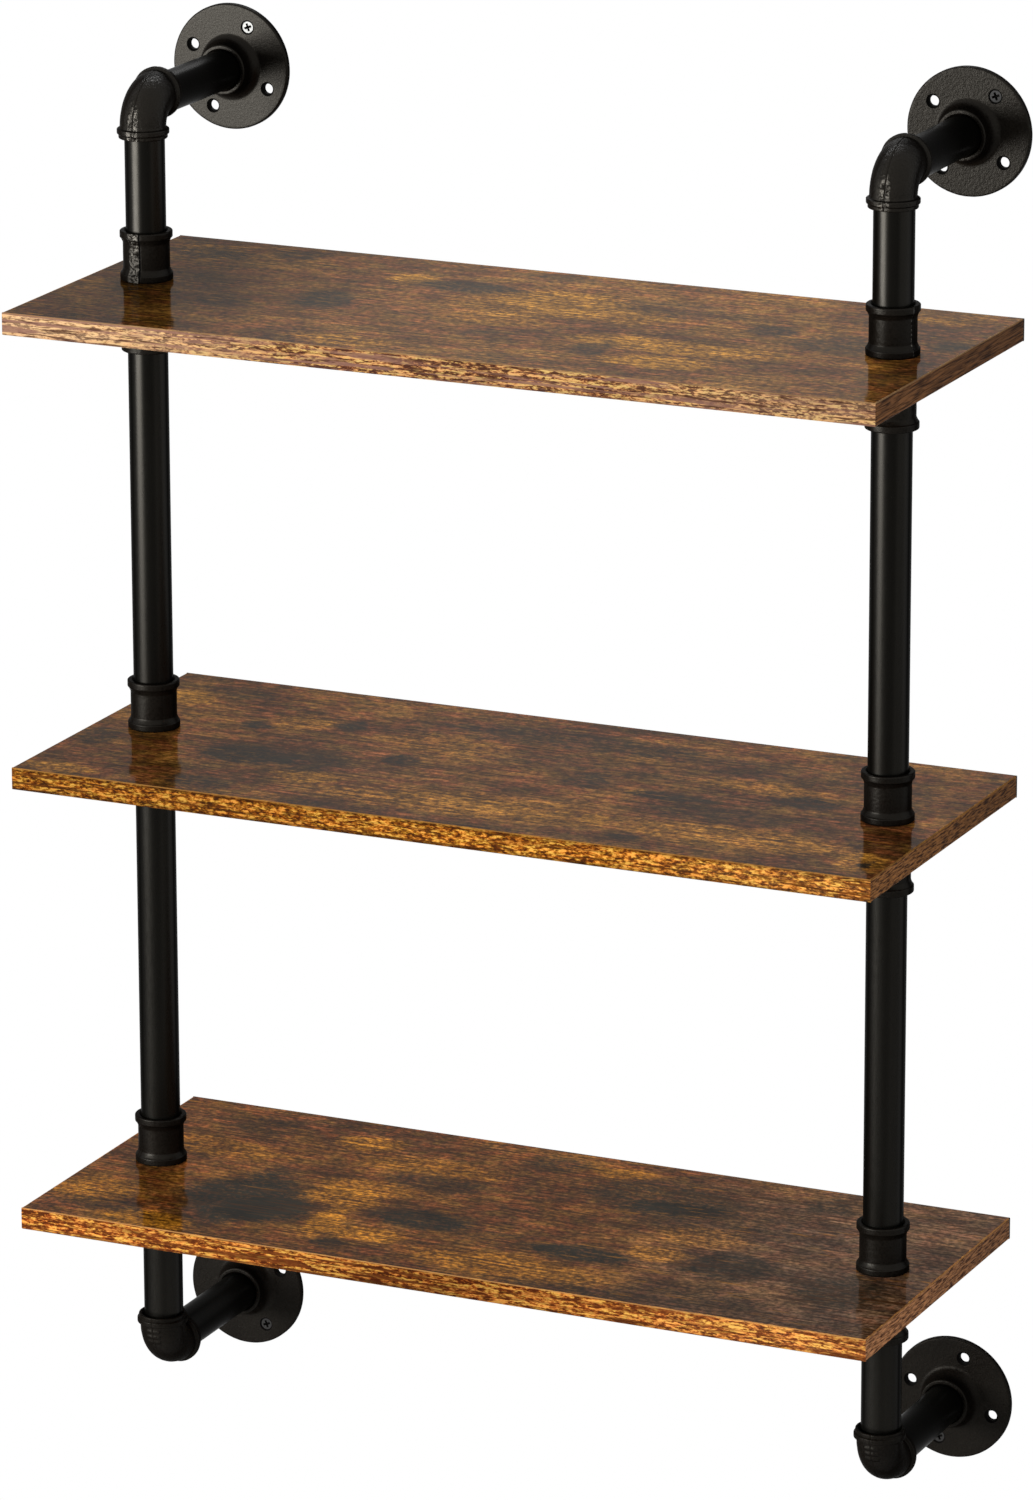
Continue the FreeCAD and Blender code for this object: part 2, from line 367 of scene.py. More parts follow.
def facing_gloss(tree, shader, level, share=1.0, centre=1.0):
    """Gloss that fades towards a round piece's edges, as in a room that is dark at the sides. centre is the
    share of it that is left where the surface faces the eye squarely."""
    facing = add(tree, "ShaderNodeLayerWeight").outputs["Facing"]
    gloss = times(tree, step(tree, facing, 0.14, 0.50, level, level * 0.02), share)
    gloss = times(tree, gloss, step(tree, facing, 0.03, 0.09, centre, 1.0))
    tree.links.new(gloss, shader.inputs["Specular IOR Level"])
    shader.inputs["Specular Tint"].default_value = (1.0, 0.93, 0.80, 1)


def black_pipe_paint():
    """Semi-matte black paint on drawn pipe: smooth, with faint lengthwise mill marks and thin dust."""
    made, tree, shader = new_material("black_pipe_paint")
    fine = pattern(tree, (900, 900, 120), 4, 0.6)
    broad = pattern(tree, (35, 35, 9), 3, 0.5)
    dust = pattern(tree, 1500, 2, 0.5)
    colour = ramp(tree, broad, [(0.3, (0.0018, 0.0017, 0.0014)), (0.7, (0.0030, 0.0028, 0.0023))])
    colour = blend(tree, "MIX", step(tree, dust, 0.70, 0.80, 0.0, 0.35), colour, (0.05, 0.048, 0.045))
    tree.links.new(colour, shader.inputs["Base Color"])
    tree.links.new(ramp(tree, fine, [(0.3, 0.26), (0.7, 0.33)]), shader.inputs["Roughness"])
    facing_gloss(tree, shader, 0.215, centre=0.5)
    bumped(tree, shader, fine, 0.15, 0.05 * mm)
    return made


def cast_paint(name, grit, level, lump_density=420, sparkling=False):
    """The same paint on cast iron: a sand-cast skin, as deep as grit, shows as pits and lumps, with painted
    shade in the pits.
    """
    made, tree, shader = new_material(name)
    sand = pattern(tree, 1100, 3, 0.6)
    lumps = pattern(tree, lump_density, 3, 0.55)
    broad = pattern(tree, 28, 2, 0.5)
    colour = ramp(tree, broad, [(0.3, (0.0050, 0.0040, 0.0032)), (0.72, (0.0078, 0.0064, 0.0050))])
    # Painted shade: the colour darkens in the pits of the skin
    pit_shade = step(tree, sand, 0.38, 0.50, 0.45, 1.0)
    colour = blend(tree, "MULTIPLY", 1.0, colour, pit_shade)
    tree.links.new(colour, shader.inputs["Base Color"])
    tree.links.new(ramp(tree, sand, [(0.38, 0.28), (0.62, 0.42)]), shader.inputs["Roughness"])
    sparkle = pattern(tree, 480, 3, 0.65)
    share = step(tree, sparkle, 0.42, 0.60, 0.15, 1.8) if sparkling else 1.0
    facing_gloss(tree, shader, level, share)
    height = maths(tree, "ADD", times(tree, sand, 0.6), times(tree, lumps, 0.8))
    bumped(tree, shader, height, 0.8, grit)
    return made


def painted_shade_hollow():
    """Painted shade: a near-black, matt colour for the unlit inside of a screw hole or of a screw's recess.
    """
    made, tree, shader = new_material("painted_shade_hollow")
    scale = pattern(tree, 1200, 3, 0.6)
    tint = ramp(tree, scale, [(0.35, (0.0030, 0.0028, 0.0025)), (0.65, (0.0060, 0.0055, 0.0050))])
    tree.links.new(tint, shader.inputs["Base Color"])
    set_inputs(shader, {"Roughness": 0.8, "Specular IOR Level": 0.02})
    bumped(tree, shader, scale, 0.4, 0.1 * mm)
    return made


def mark_mask(tree, place, marks, diamond=False):
    """The sum of soft oval or diamond marks in the print."""
    low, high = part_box("edge_band_top")
    total = None
    for along, across, half_length, half_width, strength in marks:
        centre_x, centre_y = low.x + along * mm, high.y - across * mm
        density = (1 / (half_length * mm), 1 / (half_width * mm), 0)
        offset = stretched(tree, place, density, (-centre_x * density[0], -centre_y * density[1], 0))
        if diamond:
            offset = vector_maths(tree, "ABSOLUTE", offset)
            distance = vector_maths(tree, "DOT_PRODUCT", offset, (1, 1, 0))
        else:
            distance = vector_maths(tree, "LENGTH", offset)
        mask = step(tree, distance, 0.58, 1.18, strength * 1.2, 0.0)
        total = mask if total is None else maths(tree, "ADD", total, mask)
    return total


def wandering_place(tree, reach, density, shift):
    """Object coordinates pushed about by noise, so that marks have ragged outlines."""
    place = object_place(tree)
    push = speckle(tree, stretched(tree, place, density, shift), 5, 0.62, output="Color")
    push = vector_maths(tree, "SUBTRACT", push, (0.5, 0.5, 0.5))
    return vector_maths(tree, "ADD", place, vector_maths(tree, "MULTIPLY", push, reach))


def laminate(level, looks):
    """Rustic wood-print laminate, grain along X: browns, smoky charcoal marks and amber glow under gloss."""
    made, tree, shader = new_material("laminate_" + level)
    shift = looks["shift"]

    def moved(along, across):
        return (shift[0] + along, shift[1] + across, 0)

    broad = pattern(tree, (9, 17, 17), 4, 0.55, 0.3, shift)
    hue = pattern(tree, (60, 90, 90), 3, 0.6, shift=moved(5, 0))
    smoke = pattern(tree, (32, 44, 44), 5, 0.6, 0.4, moved(13, 2))
    mottle = pattern(tree, (230, 330, 330), 4, 0.65, shift=shift)
    streaks = pattern(tree, (18, 330, 330), 4, 0.6, 0.25, shift)
    lines = pattern(tree, (22, 620, 620), 3, 0.6, 0.25, moved(0, 7))
    scratches = pattern(tree, (34, 420, 420), 3, 0.6, 0.3, moved(3, 11))
    where_lined = pattern(tree, (6, 16, 16), 3, 0.5, shift=moved(9, 3))
    base = ramp(tree, broad, [(0.40, looks["deep"]), (0.50, looks["brown"]), (0.61, looks["tan"])])
    base = blend(tree, "MIX", step(tree, hue, 0.49, 0.60, 0.0, 0.75), base, looks["red"])
    base = blend(tree, "MIX", step(tree, hue, 0.46, 0.36, 0.0, 0.6), base, looks["olive"])
    place = wandering_place(tree, (30 * mm, 20 * mm, 0), (42, 60, 60), shift)
    breakup = step(tree, mottle, 0.38, 0.62, 0.6, 1.25)
    amber = mark_mask(tree, place, amber_marks[level])
    amber = times(tree, amber, breakup, clamp=True)
    base = blend(tree, "MIX", amber, base, looks["amber"])
    dark = mark_mask(tree, place, dark_marks[level])
    if level == "bottom":
        dark = maths(tree, "ADD", dark, mark_mask(tree, place, [diamond_mark], diamond=True))
    dark = times(tree, dark, step(tree, mottle, 0.38, 0.62, 1.15, 0.80), clamp=True)
    along = split(tree, object_place(tree))["X"]
    # Painted sheen: a pale veil over the board's right half that stands in for a reflection
    painted_sheen_mask = step(tree, along, 0.02, 0.24, 0.0, looks["painted_sheen"])
    base = blend(tree, "MIX", painted_sheen_mask, base, painted_sheen_colour)
    grain = ramp(tree, streaks, [(0.38, 0.60), (0.5, 0.97), (0.62, 1.42)])
    base = blend(tree, "MULTIPLY", 0.95, base, grain)
    spots = ramp(tree, mottle, [(0.37, 0.40), (0.5, 0.95), (0.63, 1.85)])
    base = blend(tree, "MULTIPLY", 0.95, base, spots)
    base = blend(tree, "MIX", dark, base, looks["charcoal"])
    thin, thick = looks["smoke"]
    base = blend(tree, "MULTIPLY", 1.0, base, ramp(tree, smoke, [(0.36, thin), (0.64, thick)]))
    base = blend(tree, "MULTIPLY", 1.0, base, step(tree, along, *left_stretch, looks["left"], 1.0))
    much_lined = step(tree, where_lined, 0.44, 0.56, 0.35, 0.9)
    lined = times(tree, step(tree, lines, 0.46, 0.40), much_lined)
    base = blend(tree, "MIX", lined, base, looks["line"])
    less_lined = step(tree, where_lined, 0.56, 0.44, 0.1, 0.6)
    bright = times(tree, step(tree, scratches, 0.60, 0.68), less_lined)
    base = blend(tree, "MIX", bright, base, looks["amber"])
    tree.links.new(base, shader.inputs["Base Color"])
    tree.links.new(ramp(tree, mottle, [(0.3, 0.50), (0.7, 0.62)]), shader.inputs["Roughness"])
    set_inputs(shader, {"Specular IOR Level": 0.0, "Coat Roughness": 0.09})
    coat = step(tree, along, *left_stretch, looks["left_coat"], looks["coat"])
    tree.links.new(coat, shader.inputs["Coat Weight"])
    bumped(tree, shader, lines, 0.10, 0.06 * mm)
    return made


def edge_print(level, looks):
    """Printed edge band: soft flecks and long thin streaks over orange and gold, darker on the ends, with
    painted shade towards their rear.
    """
    made, tree, shader = new_material("edge_print_" + level)
    low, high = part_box("edge_band_" + level)
    shift = looks["shift"]
    flecks = pattern(tree, looks["fleck"], 4, 0.66, 0.3, shift)
    clumps = pattern(tree, looks["clump"], 4, 0.6, 0.4, (shift[0], 7, 2))
    tone = pattern(tree, (90, 120, 330), 4, 0.65, 0.3, (shift[0] + 11, 5, 1))
    bands = pattern(tree, (11, 12, 390), 3, 0.55, 0.5, (shift[0] + 2, 3, 5))
    cracks = pattern(tree, (36, 40, 620), 3, 0.6, 0.3, (shift[0] + 8, 2, 9))
    broad = pattern(tree, (9, 9, 60), 3, 0.5, shift=(shift[0] + 4, 1, 3))
    mix = times(tree, flecks, 0.62)
    mix = maths(tree, "ADD", mix, times(tree, clumps, 0.38))
    spread = looks["spread"]
    colour = ramp(tree, mix, [
        (0.50 - 1.7 * spread, looks["dark"]), (0.50 - 0.7 * spread, looks["red"]),
        (0.50 + 0.3 * spread, looks["middle"]), (0.50 + 1.5 * spread, looks["light"]),
    ])
    hue = blend(tree, "MIX", step(tree, tone, 0.43, 0.57), looks["gold"], looks["orange"])
    colour = blend(tree, "MULTIPLY", 1.0, colour, hue)
    place = split(tree, object_place(tree))
    along = step(tree, place["X"], -0.29, 0.29)
    left_worn, right_worn = looks["worn"]
    worn = ramp(tree, along, [(0.0, left_worn), (0.25, 0.0), (0.8, 0.0), (1.0, right_worn)])
    worn = times(tree, worn, step(tree, flecks, 0.40, 0.56, 0.30, 1.0))
    colour = blend(tree, "MIX", worn, colour, looks["pale"])
    start, end = looks["band"]
    streaky = step(tree, broad, 0.42, 0.56, 0.45, 0.9)
    streak = times(tree, step(tree, bands, start, end), streaky)
    colour = blend(tree, "MIX", streak, colour, looks["streak"])
    crack = times(tree, step(tree, cracks, looks["crack"], looks["crack"] - 0.06), 0.85)
    colour = blend(tree, "MIX", crack, colour, looks["dark"])
    colour = blend(tree, "MULTIPLY", 0.8, colour, ramp(tree, broad, [(0.3, 0.92), (0.7, 1.06)]))
    upper_margin, lower_edge_shade = looks["margins"]
    upper = step(tree, place["Z"], high.z - 3.2 * mm, high.z - 1.2 * mm, 1.0, upper_margin)
    # Painted shade: the band darkens towards its lower edge
    lower = step(tree, place["Z"], low.z + 3.4 * mm, low.z + 0.8 * mm, 1.0, lower_edge_shade)
    colour = blend(tree, "MULTIPLY", 1.0, colour, times(tree, upper, lower))
    left, middle, right = looks["shade"]
    shade = ramp(tree, along, [(0.0, left), (0.5, middle), (1.0, right)])
    colour = blend(tree, "MULTIPLY", 1.0, colour, shade)
    normal = split(tree, add(tree, "ShaderNodeTexCoord").outputs["Normal"])
    end_density = (400, looks["end_fleck"], 820)
    end_grain = pattern(tree, end_density, 4, 0.66, 0.3, shift)
    end_colour = ramp(tree, end_grain, [(0.41, looks["end_dark"]), (0.59, looks["end_light"])])
    # Painted shade: the ends are lighter at the front and darker towards the rear
    end_shade = step(tree, place["Y"], -0.25, -0.02, *looks["end_shade"])
    end_colour = blend(tree, "MULTIPLY", 1.0, end_colour, end_shade)
    on_end = step(tree, maths(tree, "ABSOLUTE", normal["X"]), 0.6, 0.9)
    colour = blend(tree, "MIX", on_end, colour, end_colour)
    upward = normal["Z"]
    # The eased upper edge, facing upwards, is lighter: partly a painted highlight, partly wear
    highlight_and_wear_mask = times(tree, step(tree, upward, 0.3, 0.5), step(tree, upward, 0.95, 0.85))
    colour = blend(tree, "MIX", times(tree, highlight_and_wear_mask, 0.7), colour, looks["ease_highlight_and_wear"])
    # Painted shade: the rear strip of the band is darkened
    rear_shade_mask = step(tree, place["Y"], high.y - 2.5 * mm, high.y - 1.5 * mm)
    colour = blend(tree, "MIX", rear_shade_mask, colour, looks["rear"])
    tree.links.new(colour, shader.inputs["Base Color"])
    tree.links.new(ramp(tree, flecks, [(0.3, 0.40), (0.7, 0.55)]), shader.inputs["Roughness"])
    shader.inputs["Specular IOR Level"].default_value = 0.01
    bumped(tree, shader, flecks, 0.2, 0.10 * mm)
    return made


def screw_metal(name, colour, roughness, metallic):
    """Plated or blackened screw, a little worn."""
    made, tree, shader = new_material(name)
    wear = pattern(tree, 1400, 4, 0.6)
    tint = ramp(tree, wear, [(0.3, tuple(c * 0.8 for c in colour)), (0.7, colour)])
    tree.links.new(tint, shader.inputs["Base Color"])
    rough = ramp(tree, wear, [(0.3, roughness * 0.8), (0.7, roughness * 1.25)])
    tree.links.new(rough, shader.inputs["Roughness"])
    set_inputs(shader, {"Metallic": metallic, "Specular IOR Level": 0.2})
    bumped(tree, shader, wear, 0.2, 0.05 * mm)
    return made


# Pipes

facing_room = Matrix.Rotation(math.radians(90), 4, "X")


def pipe(node, material):
    """A painted pipe in the place of a node, upright or along Y."""
    low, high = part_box(node)
    middle = (low + high) / 2
    upright = high.z - low.z > high.y - low.y
    radius = (high.x - low.x) / 2
    length = (high.z - low.z) if upright else (high.y - low.y)
    if upright:
        place = Matrix.Translation((middle.x, middle.y, low.z))
    else:
        place = Matrix.Translation((middle.x, high.y, middle.z)) @ facing_room
    bore, edge = radius - pipe_wall, radius - pipe_end_chamfer
    outline = [
        (bore, 0), (edge, 0), (radius, pipe_end_chamfer),
        (radius, length - pipe_end_chamfer), (edge, length), (bore, length),
    ]
    finish_piece(turned(node + "_painted", outline, place), material, "black_pipe", node)


# Castings

def skin(position, strength):
    """The uneven skin of a sand casting at a point of the object, outwards."""
    coarse = noise.noise(position * coarse_skin_density)
    return strength * (coarse + 0.5 * noise.noise(position * fine_skin_density))


def off_front(angle):
    """How far an angle is from 0 either way, in radians."""
    return abs((angle + math.pi) % (2 * math.pi) - math.pi)


def ridge(angle, middle, half_width, height):
    """A rounded line that runs along a fitting at one angle, in radians, or across it at one distance."""
    share = off_front(angle - middle) / half_width
    return height * (1 - share * share) if share < 1 else 0


def patch(value, low, high, fade):
    """1 between two limits, falling to 0 over the fade outside them."""
    return max(0.0, min(1.0, (value - low) / fade + 1, (high - value) / fade + 1))


def coupling_bead(bead, body_radius):
    """The outline of a coupling's bead, from the mouth's outer edge to the body."""
    edge, shoulder, foot, run_out = 0.9 * mm, 0.9 * mm, 0.35 * mm, 1.0 * mm
    points = arc(bead - edge, edge, edge, -90, 0, 5)
    points += arc(bead - edge, bead_height * 0.70 - edge, edge, 0, 70, 5)
    points += [(body_radius + shoulder, bead_height * 0.82), (body_radius + foot, bead_height)]
    points += [(body_radius, bead_height + run_out)]
    return points


def elbow_bead(bead, body_radius):
    """The outline of an elbow's bead: a plain band at the mouth, then a raised ridge."""
    band = bead - 1.1 * mm
    edge, foot, run_out = 0.7 * mm, 0.3 * mm, 0.9 * mm
    points = arc(band - edge, edge, edge, -90, 0, 4)
    points += [(band, bead_height * 0.34)]
    points += arc(bead - edge, bead_height * 0.42 + edge, edge, -80, 0, 4)
    points += arc(bead - edge, bead_height * 0.92 - edge, edge, 0, 80, 4)
    points += [(body_radius + foot, bead_height), (body_radius, bead_height + run_out)]
    return points


def coupling(node, materials, seams, strip):
    """A beaded coupling. seams are the angles of its mould lines, strip the limits of a rough cast patch. The
    materials are those of the body, of the patch and of the painted shade on the seam beside the patch."""
    low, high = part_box(node)
    bead = (high.x - low.x) / 2
    body_radius = bead * coupling_body_share
    height = high.z - low.z
    centre = Vector(((low.x + high.x) / 2, (low.y + high.y) / 2, low.z))
    lower = coupling_bead(bead, body_radius)
    upper = [(r, height - h) for r, h in reversed(lower)]
    outline = [(fitting_bore, mouth_lip), (mouth_radius, 0)] + lower + upper
    outline += [(mouth_radius, height), (fitting_bore, height - mouth_lip)]
    outline = divided(outline, coupling_stretch)

    def relief(angle, at, radius):
        if radius <= mouth_radius:
            return 0
        position = centre + about_axis(radius, angle, at)
        out = skin(position, coupling_skin)
        for middle in seams:
            out -= ridge(angle, math.radians(middle), coupling_seam_angle, coupling_seam_height)
        if strip:
            inside = patch(math.degrees(angle) - 360, *strip, coupling_strip_fade)
            lumps = coupling_strip_lumps * noise.noise(position * coupling_strip_density)
            out += inside * (coupling_strip_height + lumps)
        return min(out, bead - radius)

    segments = strip_segments if strip else coupling_segments
    piece = turned(node + "_cast", outline, Matrix.Translation(centre), segments, relief)
    finish_piece(piece, materials[0], "cast_fitting", node)
    if strip:
        piece.data.materials.append(materials[1])
        piece.data.materials.append(materials[2])
        for number, polygon in enumerate(piece.data.polygons):
            turn = (number % segments + 0.5) * 360 / segments - 360
            if strip[0] <= turn <= strip[1]:
                polygon.material_index = 1
            # The band on the seam beside the patch gets the painted shade
            elif strip[1] < turn < strip[1] + coupling_shadow:
                polygon.material_index = 2


def elbow_stations(bead, body_radius, total):
    """The skin's radii and distances in from the upright mouth, from its bore to the rear mouth's bore."""
    bore_depth = 6 * mm
    profile = elbow_bead(bead, body_radius)
    mouth = [(fitting_bore, bore_depth), (fitting_bore, mouth_lip), (mouth_radius, 0)] + profile
    mouth = divided(mouth, elbow_stretch)
    mouth = mouth[:mouth.index(profile[-1]) + 1]
    start = profile[-1][1]
    between = total - 2 * start
    steps = [start + between * k / elbow_bend_steps for k in range(1, elbow_bend_steps)]
    stations = mouth + [(body_radius, distance) for distance in steps]
    return stations + [(radius, total - distance) for radius, distance in reversed(mouth)]


def elbow(node, material, strip_material):
    """A cast elbow swept from its upright mouth round the bend to its rear mouth."""
    low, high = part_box(node)
    bead = (high.x - low.x) / 2
    body_radius = bead * elbow_body_share
    reach = high.y - low.y - body_radius
    bend = reach - bead_height
    quarter = bend * math.pi / 2
    total = 2 * bead_height + quarter
    flip = 1 if node.startswith("elbow_top") else -1
    z = (high.z - body_radius) if flip > 0 else (low.z + body_radius)
    corner = Vector(((low.x + high.x) / 2, low.y + body_radius, z))
    stations = elbow_stations(bead, body_radius, total)

    def line_at(distance):
        """The pipe's middle and its direction at a distance in from the upright mouth."""
        if distance <= bead_height:
            return Vector((0, 0, distance - reach)), Vector((0, 0, 1))
        if distance >= bead_height + quarter:
            return Vector((0, distance - total + reach, 0)), Vector((0, 1, 0))
        angle = (distance - bead_height) / bend
        middle = Vector((0, bend - bend * math.cos(angle), -bend + bend * math.sin(angle)))
        return middle, Vector((0, math.sin(angle), math.cos(angle)))

    def relief(angle, distance, radius, position):
        off = off_front(angle)
        out = skin(position, elbow_skin)
        for middle in (0, math.pi):
            out -= ridge(angle, middle, elbow_seam_angle, elbow_seam_height)
        if flip > 0:
            rough = patch(off, *elbow_strip_angles, elbow_strip_fade)
            rough *= patch(distance, 1 * mm, total * elbow_strip_end, 3 * mm)
            lumps = elbow_strip_lumps * noise.noise(position * elbow_strip_density)
            out += rough * (elbow_strip_height + lumps)
        else:
            share = patch(off, 0, elbow_bar_angle, 0.04)
            for bar in elbow_bars:
                at = bead_height + bar
                out += share * ridge(distance, at, elbow_bar_half_width, elbow_bar_height)
        return min(out, bead - radius)

    segments = elbow_segments
    across = Vector((1, 0, 0))
    points, faces = [], []
    for radius, distance in stations:
        middle, ahead = line_at(distance)
        outward = across.cross(ahead)
        for segment in range(segments):
            angle = 2 * math.pi * segment / segments
            way = across * math.sin(angle) + outward * math.cos(angle)
            out = 0
            if radius > mouth_radius:
                out = relief(angle, distance, radius, corner + middle + way * radius)
            local = middle + way * (radius + out)
            points.append(corner + Vector((local.x, local.y, local.z * flip)))
    for ring in range(len(stations) - 1):
        for segment in range(segments):
            after = (segment + 1) % segments
            quad = (ring * segments + segment, ring * segments + after,
                    (ring + 1) * segments + after, (ring + 1) * segments + segment)
            faces.append(quad if flip > 0 else quad[::-1])
    piece = smooth_mesh(node + "_cast", points, faces)
    finish_piece(piece, material, "cast_fitting", node)
    if flip < 0:
        return
    piece.data.materials.append(strip_material)
    for number, polygon in enumerate(piece.data.polygons):
        turn = 2 * math.pi * (number % segments + 0.5) / segments
        off = off_front(turn)
        distance = stations[number // segments][1]
        # The glossy strip's end slants across the elbow
        if 0.04 < off < 0.24 and distance < total * (0.40 - 0.5 * off):
            polygon.material_index = 1


def flange_outline(rim, height):
    """The flange's section: a flat plate with a rounded rim, a hollow flare and a short collar."""
    collar_lip = 1.0 * mm
    flare_top = height - flange_collar_height
    back_edge = 0.4 * mm
    points = [(fitting_bore, 0), (rim - back_edge, 0), (rim, back_edge)]
    points += arc(rim - flange_rim_round, flange_thickness - flange_rim_round, flange_rim_round, 0, 90, 6)
    for count in range(flare_steps + 1):
        angle = math.pi / 2 * count / flare_steps
        points.append((
            flange_flare_foot - (flange_flare_foot - flange_collar) * math.sin(angle),
            flare_top - (flare_top - flange_thickness) * math.cos(angle),
        ))
    points += arc(flange_collar - collar_lip, height - collar_lip, collar_lip, 0, 90, 5)
    points += [(mouth_radius, height), (fitting_bore, height - mouth_lip)]
    return points


def hole_cutter(place):
    """A turned plug with a flared top that cuts one countersunk hole."""
    past = 1.0 * mm
    sink_foot = flange_thickness - (sink_radius - hole_radius)
    lead, lead_height = 0.3 * mm, 0.15 * mm
    outline = [
        (0, -past), (hole_radius, -past), (hole_radius, sink_foot), (sink_radius, flange_thickness),
        (sink_radius + lead, flange_thickness + lead_height),
        (sink_radius + lead, flange_thickness + past), (0, flange_thickness + past),
    ]
    return turned("hole_cutter", outline, place, small_segments)


def joined(pieces):
    """One object out of several that stand apart."""
    whole = bmesh.new()
    for piece in pieces:
        whole.from_mesh(piece.data)
    whole.to_mesh(pieces[0].data)
    whole.free()
    for piece in pieces[1:]:
        bpy.data.objects.remove(piece)
    return pieces[0]


def cut(piece, cutter, material, hollow_shade):
    """Cuts a shape out of a piece, gives the cut faces the painted shade of the hollow and removes the
    cutter.
    """
    piece.data.materials.append(material)
    cutter.data.materials.append(hollow_shade)
    modifier = piece.modifiers.new("cut", "BOOLEAN")
    modifier.operation = "DIFFERENCE"
    modifier.solver = "EXACT"
    modifier.material_mode = "TRANSFER"
    modifier.object = cutter
    bpy.context.view_layer.update()
    evaluated = piece.evaluated_get(bpy.context.evaluated_depsgraph_get())
    mesh = bpy.data.meshes.new_from_object(evaluated)
    piece.modifiers.clear()
    piece.data = mesh
    shade_smooth(mesh, cut_sharp_angle)
    bpy.data.objects.remove(cutter)


def flange_place(corner):
    """The middle of a flange's back, turned so that Z points into the room."""
    low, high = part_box("wall_flange_" + corner)
    return Matrix.Translation(((low.x + high.x) / 2, high.y, (low.z + high.z) / 2)) @ facing_room


def hole_place(corner, number):
    angle = math.radians(flange_turns[corner] + 90 * number)
    return flange_place(corner) @ Matrix.Translation(about_axis(hole_circle, angle, 0))


def flange(corner, material, hollow_shade):
    """A round wall flange with its four screw holes."""
    node = "wall_flange_" + corner
    low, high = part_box(node)
    place = flange_place(corner)
    rim = (high.x - low.x) / 2
    outline = divided(flange_outline(rim, high.y - low.y), flange_stretch)

    def relief(angle, at, radius):
        if radius <= mouth_radius:
            return 0
        position = place @ about_axis(radius, angle, at)
        return min(skin(position, flange_skin), rim - radius)

    piece = turned(node + "_cast", outline, place, flange_segments, relief)
    cutter = joined([hole_cutter(hole_place(corner, number)) for number in range(4)])
    cut(piece, cutter, material, hollow_shade)
    finish_piece(piece, None, "cast_fitting", node)


# Wall screws

def cross_cutter(place, top):
    """A tapering plus-shaped plug that cuts the cross recess."""
    half, half_foot, arm, arm_foot = 2.7 * mm, 1.0 * mm, 0.80 * mm, 0.5 * mm
    depth, above = 1.7 * mm, 0.6 * mm

    def plus(reach, width, height):
        walk = [(reach, -width), (reach, width), (width, width)]
        points = []
        for quarter in range(4):
            turn = Matrix.Rotation(math.radians(90 * quarter), 3, "Z")
            points += [turn @ Vector((x, y, height)) for x, y in walk]
        return points

    rings = plus(half_foot, arm_foot, top - depth) + plus(half, arm, top) + plus(half, arm, top + above)
    points = [place @ point for point in rings]
    count = 12
    faces = [tuple(reversed(range(count))), tuple(range(2 * count, 3 * count))]
    for ring in (0, count):
        for k in range(count):
            after = (k + 1) % count
            faces.append((ring + k, ring + after, ring + count + after, ring + count + k))
    return smooth_mesh("cross_cutter", points, faces)


def wall_screw(corner, material, hollow_shade):
    """A countersunk cross-head screw in its flange hole, with a thread on its shank."""
    top = flange_thickness - screw_below_face
    foot = top - (screw_head - screw_shank)
    point = top - screw_length
    outline = [(0, top), (0, point), (screw_shank, point + screw_tip)]
    at = point + screw_tip
    while at + screw_pitch < foot - screw_plain_neck:
        outline += [(screw_crest, at + screw_pitch * 0.5), (screw_shank, at + screw_pitch)]
        at += screw_pitch
    outline += [(screw_shank, foot), (screw_head, top - screw_edge), (screw_head - screw_edge, top)]
    place = hole_place(corner, screw_numbers[corner])
    piece = turned("wall_screw_" + corner, outline, place, small_segments)
    cutter = cross_cutter(place @ Matrix.Rotation(math.radians(screw_turn), 4, "Z"), top)
    cut(piece, cutter, material, hollow_shade)
    finish_piece(piece, None, "wall_screw", "wall_screws")


# Camera, lights and floor

def photo_camera():
    """The camera that took the photograph, as its corners gave it."""
    data = bpy.data.cameras.new("camera")
    data.sensor_width = sensor
    data.lens = focal_pixels * sensor / picture_height
    data.clip_start = 0.1
    data.clip_end = 60
    camera = bpy.data.objects.new("camera", data)
    ahead = Vector((
        -math.sin(camera_turn) * math.cos(camera_tilt),
        math.cos(camera_turn) * math.cos(camera_tilt),
        -math.sin(camera_tilt),
    ))
    level_right = Vector((math.cos(camera_turn), math.sin(camera_turn), 0))
    level_up = level_right.cross(ahead)
    right = level_right * math.cos(camera_roll) + level_up * math.sin(camera_roll)
    above = level_up * math.cos(camera_roll) - level_right * math.sin(camera_roll)
    spot = camera_target - ahead * camera_distance + right * camera_side_step + above * camera_rise
    turn = Matrix((right, above, -ahead)).transposed().to_4x4()
    camera.matrix_world = Matrix.Translation(spot) @ turn
    bpy.context.scene.collection.objects.link(camera)
    bpy.context.scene.camera = camera


def softbox(name, spot, aim, width, height, watts):
    """A rectangular lamp at one place that faces another."""
    data = bpy.data.lights.new(name, "AREA")
    data.shape = "RECTANGLE"
    data.size = width
    data.size_y = height
    data.energy = watts
    lamp = bpy.data.objects.new(name, data)
    lamp.location = spot
    lamp.rotation_mode = "QUATERNION"
    lamp.rotation_quaternion = (Vector(aim) - Vector(spot)).to_track_quat("-Z", "Y")
    bpy.context.scene.collection.objects.link(lamp)


def white_world(ambient):
    """Plain soft light from all round, seen as white by the camera and in reflections."""
    world = bpy.data.worlds.new("world")
    bpy.context.scene.world = world
    world.use_nodes = True
    tree = world.node_tree
    background = tree.nodes["Background"]
    rays = add(tree, "ShaderNodeLightPath")
    seen = maths(tree, "MAXIMUM", rays.outputs["Is Camera Ray"], rays.outputs["Is Glossy Ray"])
    seen = maths(tree, "MAXIMUM", seen, rays.outputs["Is Transmission Ray"])
    grey = (ambient, ambient, ambient)
    tree.links.new(blend(tree, "MIX", seen, grey, (1, 1, 1)), background.inputs["Color"])


